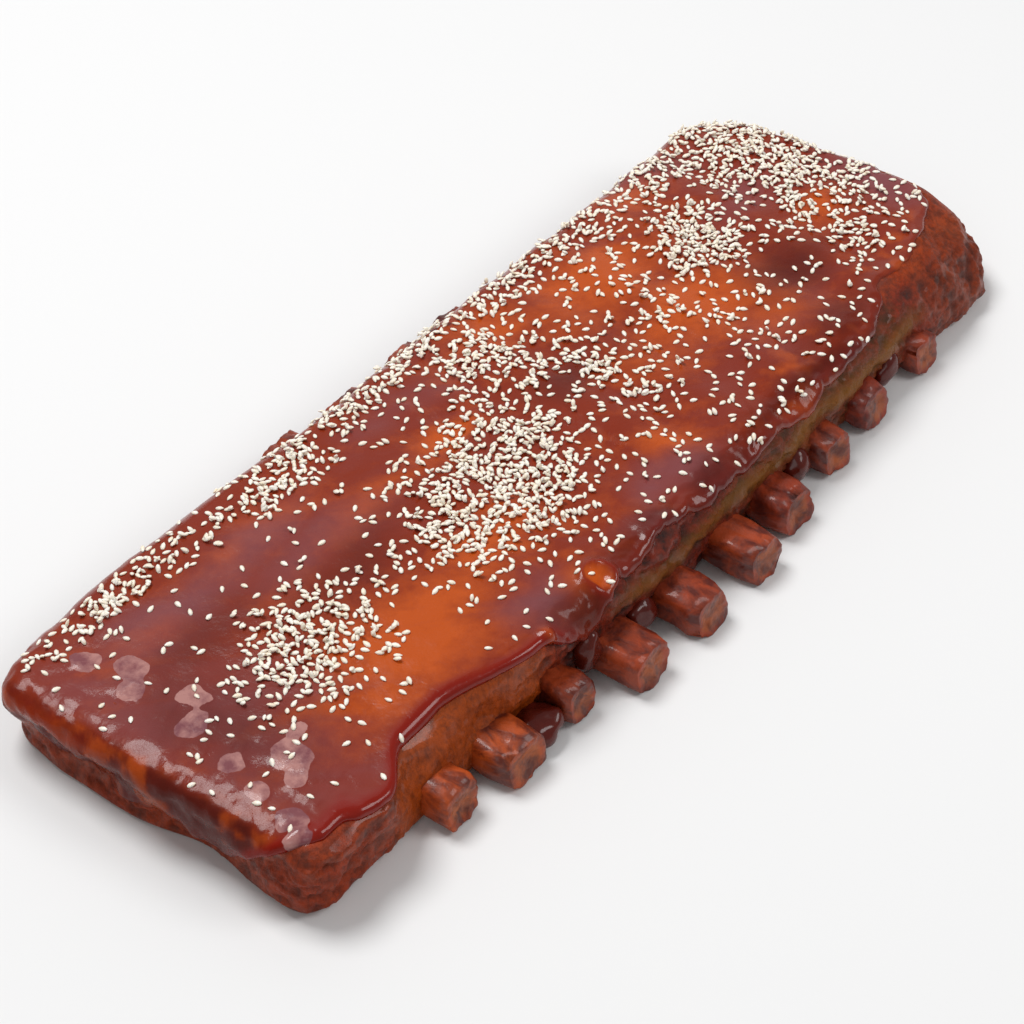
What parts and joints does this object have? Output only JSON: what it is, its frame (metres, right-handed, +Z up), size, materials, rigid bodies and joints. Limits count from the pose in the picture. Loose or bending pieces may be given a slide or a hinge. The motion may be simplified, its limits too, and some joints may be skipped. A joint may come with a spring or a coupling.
{
  "type": "rack of glazed pork ribs",
  "caption": "Full rack of glazed ribs, meat side up on its bones, with sesame seeds on the glaze and rib ends showing along both long sides.",
  "frame": {"origin": "centre of the rack's footprint, on the surface that it lies on", "axes": "+X along the rack from its thin flap end to its thick end, -Y towards the long side with the cut wall and the longer rib ends, +Z up"},
  "size_m": [0.3744, 0.1598, 0.035],
  "materials": {
    "glazed_meat": "cooked meat under a dark red-brown glaze, glossy",
    "glazed_bone": "rib ends under a thin brown glaze, glossy",
    "sesame_seed": "cream-white hulled sesame seed, satin"
  },
  "bodies": {
    "root": {"rack_meat": "glazed_meat", "rib_bone_01": "glazed_bone", "rib_bone_02": "glazed_bone", "rib_bone_03": "glazed_bone", "rib_bone_04": "glazed_bone", "rib_bone_05": "glazed_bone", "rib_bone_06": "glazed_bone", "rib_bone_07": "glazed_bone", "rib_bone_08": "glazed_bone", "rib_bone_09": "glazed_bone", "rib_bone_10": "glazed_bone"}
  },
  "joints": []
}
